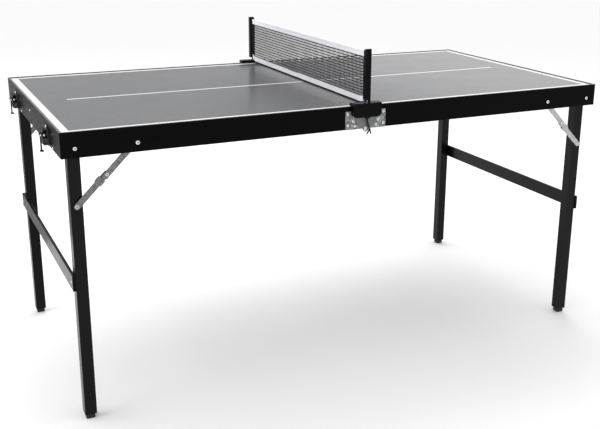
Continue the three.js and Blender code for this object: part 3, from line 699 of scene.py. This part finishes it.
def cuboid(name, low, high):
    """A box between two corners in millimetres."""
    low, high = Vector(low) * MM, Vector(high) * MM
    return begin(name, bpy.ops.mesh.primitive_cube_add, size=1, location=(low + high) / 2,
                 scale=high - low)


def pick(piece, kind, test):
    """In edit mode, select only the faces or edges whose middle and direction pass the test."""
    only(piece)
    bpy.ops.object.mode_set(mode="EDIT")
    bpy.ops.mesh.select_mode(type=kind)
    bpy.ops.mesh.select_all(action="DESELECT")
    mesh = bmesh.from_edit_mesh(piece.data)
    mesh.normal_update()
    for part in (mesh.faces if kind == "FACE" else mesh.edges):
        middle = sum((v.co for v in part.verts), Vector()) / len(part.verts)
        way = part.normal if kind == "FACE" else (part.verts[1].co - part.verts[0].co).normalized()
        part.select_set(bool(test(middle / MM, way)))
    mesh.select_flush_mode()
    bmesh.update_edit_mesh(piece.data)


def inset(width, depth=0.0):
    """Inset the selected faces as one region, in millimetres."""
    bpy.ops.mesh.inset(thickness=width * MM, depth=depth * MM, use_boundary=True)


def extrude(*move):
    """Extrude the selected faces and move them, in millimetres."""
    bpy.ops.mesh.extrude_region_move(TRANSFORM_OT_translate={"value": Vector(move) * MM})


def soften(piece, width, segments=2, angle=35):
    """Bevel every sharp edge, for good."""
    only(piece)
    soft = piece.modifiers.new("soft", "BEVEL")
    soft.width, soft.segments, soft.angle_limit = width * MM, segments, math.radians(angle)
    bpy.ops.object.modifier_apply(modifier=soft.name)


def finished(piece, body, material, replaces=()):
    """Smooth a piece's round faces and give it a finish and a body."""
    only(piece)
    bpy.ops.object.shade_smooth_by_angle(angle=math.radians(38))
    piece.data.materials.clear()
    piece.data.materials.append(material)
    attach(piece, body)
    if replaces:
        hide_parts(*replaces)
    return piece


def copied(piece, name, matrix):
    """A copy with its own mesh, moved by a matrix that is applied to it."""
    only(piece)
    bpy.ops.object.duplicate(linked=False)
    twin = bpy.context.object
    twin.name = twin.data.name = name
    twin.matrix_world = matrix
    bpy.ops.object.transform_apply(location=True, rotation=True, scale=True)
    if matrix.determinant() < 0:
        bpy.ops.object.mode_set(mode="EDIT")
        bpy.ops.mesh.select_all(action="SELECT")
        bpy.ops.mesh.normals_make_consistent(inside=False)
        bpy.ops.object.mode_set(mode="OBJECT")
    return twin


def flipped(x, y):
    """A matrix that mirrors in x, in y or in both, where they are -1."""
    return Matrix.Diagonal((x, y, 1, 1))


CORNERS = [("left", -1, "front", -1), ("left", -1, "rear", 1),
           ("right", 1, "front", -1), ("right", 1, "rear", 1)]
print("modelling helpers ready")

# %% [markdown]
# ## The net's field
# The field is square twine mesh with 7.7 mm openings. One crossing is modelled: an upright strand,
# a level strand and the small knot where they meet. Arrays repeat it 103 times along and 14 times
# up, which keeps each crossing to a few dozen faces. The whole field is then pushed a little out
# of true, since a stretched net is never quite even, and its lower edge drops almost to the board.

# %% Twine field
FIELD_LOW, FIELD_HIGH, FIELD_REACH = 784.9, 890.6, 395.8
COLUMNS, ROWS = 103, 14
UPRIGHT_RADIUS, LEVEL_RADIUS, CROSSING_RADIUS = 0.85, 1.25, 1.7
pitch_y, pitch_z = 2 * FIELD_REACH / COLUMNS, (FIELD_HIGH - FIELD_LOW) / ROWS
SAG, SAG_RUN = 7.0, 30


def sag(along):
    """The drop of the net's lower edge in millimetres: nothing at the posts, all of it soon after."""
    share = min(1.0, max(0.0, (FIELD_REACH - abs(along)) / SAG_RUN))
    return SAG * (1 - (1 - share) ** 2)


first = Vector((0, -FIELD_REACH + pitch_y / 2, FIELD_LOW + pitch_z / 2)) * MM
upright_strand = begin("upright", bpy.ops.mesh.primitive_cylinder_add, vertices=6,
                       radius=UPRIGHT_RADIUS * MM, depth=pitch_z * MM, end_fill_type="NOTHING",
                       location=first)
level_strand = begin("level", bpy.ops.mesh.primitive_cylinder_add, vertices=6,
                     radius=LEVEL_RADIUS * MM, depth=pitch_y * MM, end_fill_type="NOTHING",
                     location=first, rotation=(math.radians(90), 0, 0))
crossing = begin("crossing", bpy.ops.mesh.primitive_ico_sphere_add, subdivisions=1,
                 radius=CROSSING_RADIUS * MM, location=first, scale=(0.8, 1.0, 1.0))
net = joined("net_field", [upright_strand, level_strand, crossing])
for label, count, step in (("along", COLUMNS, (0, pitch_y * MM, 0)), ("up", ROWS, (0, 0, pitch_z * MM))):
    array = net.modifiers.new(label, "ARRAY")
    array.use_relative_offset, array.use_constant_offset = False, True
    array.count, array.constant_offset_displace = count, step
    array.use_merge_vertices, array.merge_threshold = True, 0.00001
    bpy.ops.object.modifier_apply(modifier=label)
bpy.ops.object.mode_set(mode="EDIT")
bpy.ops.mesh.select_all(action="SELECT")
bpy.ops.mesh.fill_holes(sides=8)
bpy.ops.object.mode_set(mode="OBJECT")
for vertex in net.data.vertices:
    spot = vertex.co
    ease = max(0.0, 1 - (spot.y / (FIELD_REACH * MM)) ** 2)
    fall = sag(spot.y / MM) * (FIELD_HIGH - spot.z / MM) / (FIELD_HIGH - FIELD_LOW)
    vertex.co = spot + Vector((1.6 * noise.noise(Vector((0, spot.y * 9, spot.z * 12))) * ease,
                               0.5 * noise.noise(Vector((3, spot.y * 70, spot.z * 70))),
                               0.45 * noise.noise(Vector((7, spot.y * 60, spot.z * 60))) - fall)) * MM
finished(net, "net", twine)
print("net faces", len(net.data.polygons), "pitch", round(pitch_y, 2), round(pitch_z, 2))

# %% [markdown]
# ## The tapes
# Each tape is a strip of binding folded over a cord and stitched through the net: 33 mm wide at the
# top, and 45 mm at the bottom, where the cord is thicker. Along the bottom tape's fold a dark band is
# painted: painted shade of the gap under the tape, over the cord. A grid is folded in code to that
# section: round where the cord lies, and pinched to the net at the open edge. Small puckers follow
# the stitches. Solidify then gives the cloth its thickness. The bottom tape is left out of glossy
# reflections, so that the board below it doesn't show a white stripe.

# %% Folded tapes
TAPE_REACH, TOP_TAPE_FACE, BOTTOM_TAPE_FACE = 395.8, 16.2, 22.3
TOP_TAPE_EDGE, BOTTOM_TAPE_EDGE = 904.7, 766.6
CELLS_ROUND, CELLS_ALONG = 22, 264
FOLD_RADIUS, FOLD_RUN, PINCH, PINCH_RUN = 1.7, 2.6, 0.95, 5.5
PUCKER, PUCKER_PITCH, CLOTH_THICKNESS = 0.22, 12.8, 0.45


def folded(share, face):
    """The section of the fold: distance across and down from the folded edge, in millimetres."""
    run = (share - 0.5) * 2                    # -1 at one open edge, 0 at the fold, 1 at the other
    side, down = (1 if run > 0 else -1), abs(run) * face
    if down < FOLD_RUN:
        turn = down / FOLD_RUN * math.pi / 2
        return side * FOLD_RADIUS * math.sin(turn), FOLD_RADIUS * (1 - math.cos(turn))
    fallen = down - FOLD_RUN + FOLD_RADIUS
    aside = FOLD_RADIUS - PINCH * min(1.0, (fallen - FOLD_RADIUS) / PINCH_RUN)
    return side * aside, fallen


def binding(name, edge, direction, phase, face):
    """A folded tape with its folded edge at a height. It hangs down (1) or stands up (-1) from there."""
    strip = begin(name, bpy.ops.mesh.primitive_grid_add, x_subdivisions=CELLS_ROUND,
                  y_subdivisions=CELLS_ALONG, size=1)
    down = strip.data.attributes.new("down", "FLOAT", "POINT")
    for vertex in strip.data.vertices:
        across, fallen = folded(vertex.co.x + 0.5, face)
        down.data[vertex.index].value = fallen
        along = vertex.co.y * 2 * TAPE_REACH
        pucker = PUCKER * math.sin(2 * math.pi * along / PUCKER_PITCH + phase) * min(1.0, fallen / 6)
        free = 1 - (along / TAPE_REACH) ** 2
        wave = 0.9 * noise.noise(Vector((phase, along * 0.012, 0))) * free
        lift = 0.55 * noise.noise(Vector((phase + 5, along * 0.02, 0))) * free
        drop = 0.0 if direction > 0 else sag(along)
        vertex.co = Vector((across * (1 + 0.12 * math.sin(along / 2.1)) + pucker + wave, along,
                            edge - direction * fallen + lift - drop)) * MM
    only(strip)
    thick = strip.modifiers.new("cloth", "SOLIDIFY")
    thick.thickness, thick.offset = CLOTH_THICKNESS * MM, 0.0
    bpy.ops.object.modifier_apply(modifier="cloth")
    bpy.ops.object.mode_set(mode="EDIT")
    bpy.ops.mesh.select_all(action="SELECT")
    bpy.ops.mesh.normals_make_consistent(inside=False)
    bpy.ops.object.mode_set(mode="OBJECT")
    return strip


top_tape = binding("top_tape", TOP_TAPE_EDGE, 1, 0.3, TOP_TAPE_FACE)
bottom_tape = binding("bottom_tape", BOTTOM_TAPE_EDGE, -1, 2.1, BOTTOM_TAPE_FACE)
finished(top_tape, "net", tape_cloth, ["net_top_tape"])
finished(bottom_tape, "net", lower_tape_cloth, ["net_bottom_tape"])
bottom_tape.visible_glossy = False
print("tape faces", len(top_tape.data.polygons))

# %% [markdown]
# ## The end sleeves
# At each end the net is sewn round a thin rod, which slides down into the post's channel. The
# sleeve is a tube of dark cloth with a flat seam where it meets the net. A cylinder gives the
# tube, and a run of its side faces is pulled out for the seam.

# %% Sleeves
SLEEVE_Y, SLEEVE_RADIUS, SLEEVE_LOW, SLEEVE_HIGH = 399.5, 3.1, 769.0, 903.0
sleeve = begin("net_sleeve_front", bpy.ops.mesh.primitive_cylinder_add, vertices=20,
               radius=SLEEVE_RADIUS * MM, depth=(SLEEVE_HIGH - SLEEVE_LOW) * MM,
               location=Vector((0, -SLEEVE_Y, (SLEEVE_LOW + SLEEVE_HIGH) / 2)) * MM)
pick(sleeve, "FACE", lambda middle, way: abs(way.z) > 0.9)
inset(0.8, -0.5)
pick(sleeve, "FACE", lambda middle, way: way.y > 0.93 and abs(way.z) < 0.1)
extrude(0, 1.2, 0)
bpy.ops.transform.resize(value=(0.55, 1, 0.96))
extrude(0, 2.6, 0)
soften(sleeve, 0.25)
rear_sleeve = copied(sleeve, "net_sleeve_rear", flipped(1, -1))
for piece in (sleeve, rear_sleeve):
    finished(piece, "net", sleeve_cloth)
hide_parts("net_mesh")
print("sleeves", sleeve.dimensions[:])

# %% [markdown]
# ## Rivets
# The hinges, pivots and latches are held by semi-tubular rivets: a low dome with a small hollow
# in it. One head is modelled with a radius and a height of 1 m: the rim of a drum is bevelled
# round, and its top is inset and pushed down. Each copy is then scaled to its own size.

# %% One rivet head
rivet = begin("rivet", bpy.ops.mesh.primitive_cylinder_add, vertices=20, radius=1, depth=1,
              location=(0, 0, 0.5))
pick(rivet, "EDGE", lambda middle, way: middle.z > 990)
bpy.ops.mesh.bevel(offset=0.5, segments=4, affect="EDGES")
pick(rivet, "FACE", lambda middle, way: way.z > 0.99 and middle.z > 990)
bpy.ops.mesh.inset(thickness=0.10)
bpy.ops.mesh.extrude_region_move(TRANSFORM_OT_translate={"value": (0, 0, -0.45)})
bpy.ops.transform.resize(value=(0.7, 0.7, 1))
bpy.ops.object.mode_set(mode="OBJECT")
print("rivet faces", len(rivet.data.polygons))


# %% Rivet sets
def rivets(name, body, places):
    """Heads at places in millimetres: (point, direction, radius, height), joined as one piece."""
    heads = []
    for point, way, radius, height in places:
        turn = Vector(way).to_track_quat("Z", "Y").to_matrix().to_4x4()
        matrix = Matrix.Translation(Vector(point) * MM) @ turn @ Matrix.Diagonal(
            (radius * MM, radius * MM, height * MM, 1))
        heads.append(copied(rivet, name, matrix))
    made = joined(name, heads)
    return finished(made, body, bright)


RAIL_BOTTOM, RAIL_SIDE, LEG_X, PIVOT_Z = 697, 400.2, 767, 720
BRACE_X, KNEE, STRUT = 619, (693, 387.6, 646), (381, 572)
LATCH_Y, LEVER_Z = 240, 724
LEAF_RIVETS = [(54, 12), (54, 43), (38, 23), (32, 9)]
END_RAIL_RIVETS = [(-305, 703), (12, 734), (160, 703)]
LEVER_RIVETS = [(-809, 13, 3.0), (-816.7, 9.5, 2.3)]
for side, y in (("front", -1), ("rear", 1)):
    for half, x, face in (("left", -1, 402.2), ("right", 1, 402.6)):
        rivets(f"{side}_{half}_leaf_rivets", f"{half}_half",
               [((x * u, y * face, RAIL_BOTTOM + v), (0, y, 0), 3.75, 2.0) for u, v in LEAF_RIVETS])
for half, x, side, y in CORNERS:
    body = f"{half}_{side}_brace"
    rivets(f"{half}_{side}_leg_rivet", f"{half}_half",
           [((x * LEG_X, y * RAIL_SIDE, PIVOT_Z), (0, y, 0), 4.9, 3.5)])
    rivets(f"{half}_{side}_brace_rivet", f"{body}_upper_arm",
           [((x * BRACE_X, y * RAIL_SIDE, PIVOT_Z), (0, y, 0), 5.2, 3.3),
            ((x * KNEE[0], y * KNEE[1], KNEE[2]), (0, y, 0), 4.2, 1.6)])
    rivets(f"{half}_{side}_strut_rivet", f"{body}_lower_arm",
           [((x * LEG_X, y * STRUT[0], STRUT[1]), (0, y, 0), 4.8, 2.2)])
rivets("end_rail_rivets", "left_half",
       [((-800.0, y, z), (-1, 0, 0), 3.0, 1.5) for y, z in END_RAIL_RIVETS])
for side, y in (("front", -LATCH_Y), ("rear", LATCH_Y)):
    rivets(f"{side}_latch_rivet", "left_half", [((-802.2, y, 742.5), (-1, 0, 0), 3.6, 2.0)])
    rivets(f"{side}_lever_rivets", f"{side}_latch_lever",
           [((x, y + way * reach, LEVER_Z), (0, way, 0), radius, 1.2)
            for x, reach, radius in LEVER_RIVETS for way in (-1, 1)])

# %% [markdown]
# ## Feet
# Each tube ends in a moulded foot, narrower than the tube, with a shallow panel in each side and
# a tread pressed into the sole. A box is inset and pushed in on its four sides, and its sole is
# inset twice. The other three feet are mirrored copies.

# %% Feet
LEG_Y, FOOT_HALF, FOOT_TALL = 360, 11, 13
foot = cuboid("left_front_foot_cap", (-LEG_X - FOOT_HALF, -LEG_Y - FOOT_HALF, 0),
              (-LEG_X + FOOT_HALF, -LEG_Y + FOOT_HALF, FOOT_TALL))
pick(foot, "FACE", lambda middle, way: abs(way.z) < 0.1)
bpy.ops.mesh.inset(thickness=2.6 * MM, depth=-1.0 * MM, use_individual=True)
pick(foot, "FACE", lambda middle, way: way.z < -0.9 and middle.z < 1)
inset(2.2)
extrude(0, 0, 1.2)
inset(2.6)
extrude(0, 0, -1.2)
pick(foot, "FACE", lambda middle, way: way.z > 0.9 and middle.z > FOOT_TALL - 0.5)
extrude(0, 0, 3.0)
soften(foot, 0.7, 3)
for half, x, side, y in CORNERS:
    twin = copied(foot, f"{half}_{side}_foot_cap", flipped(-x, -y))
    finished(twin, f"{half}_legs", foot_rubber, [f"{half}_{side}_foot"])
bpy.data.objects.remove(foot)
print("feet done")

# %% [markdown]
# ## Crossbar caps and rivets
# The flat tube between the legs is closed by a black cap at each end, and one rivet through each
# leg holds it. The rivets are almost flush, because the two tubes nearly touch when the table is
# folded. The cap is a box with a rounded rim and a shallow dish in its face.

# %% Crossbar caps
BAR_OUT, BAR_RIVET_Y, BAR_Z = 789.9, 362, 377.5
cap = cuboid("left_front_bar_cap", (-790.2, -377.5, 356.8), (-782.1, -374.6, 398.2))
pick(cap, "FACE", lambda middle, way: way.y < -0.9)
inset(1.8)
extrude(0, 0.7, 0)
pick(cap, "FACE", lambda middle, way: way.y > 0.9 and middle.y > -375)
inset(1.7)
extrude(0, 8.0, 0)
soften(cap, 0.45, 2)
for half, x, side, y in CORNERS:
    twin = copied(cap, f"{half}_{side}_bar_cap", flipped(-x, -y))
    finished(twin, f"{half}_legs", black_plastic)
bpy.data.objects.remove(cap)
for half, x in (("left", -1), ("right", 1)):
    rivets(f"{half}_bar_rivets", f"{half}_legs",
           [((x * BAR_OUT, y * BAR_RIVET_Y, BAR_Z), (x, 0, 0), 3.4, 0.45) for y in (-1, 1)])
print("crossbar caps done")

# %% [markdown]
# ## The handle's grip
# Over the bar of the carry handle sits a ribbed grip. One rib is modelled as a short barrel, and
# ten copies of it in a row make the grip.

# %% Handle grip
GRIP_X, GRIP_Z, GRIP_RADIUS, RIB, RIBS = 812, 698, 8.0, 9.6, 10
rib = begin("rib", bpy.ops.mesh.primitive_cylinder_add, vertices=24, radius=GRIP_RADIUS * MM,
            depth=RIB * MM, location=Vector((GRIP_X, -RIB * 4.5, GRIP_Z)) * MM,
            rotation=(math.radians(90), 0, 0))
pick(rib, "EDGE", lambda middle, way: abs(way.y) < 0.1)
bpy.ops.mesh.bevel(offset=1.9 * MM, segments=3, affect="EDGES")
bpy.ops.object.mode_set(mode="OBJECT")
ribs = [rib] + [copied(rib, "rib", Matrix.Translation((0, k * RIB * MM, 0))) for k in range(1, RIBS)]
grip = finished(joined("carry_handle_grip", ribs), "carry_handle", black_plastic)
print("grip", grip.dimensions[:])

# %% [markdown]
# ## Clean up
# The rivet head that every copy came from is removed, and nothing is left selected.

# %% Finish
bpy.data.objects.remove(rivet)
only()
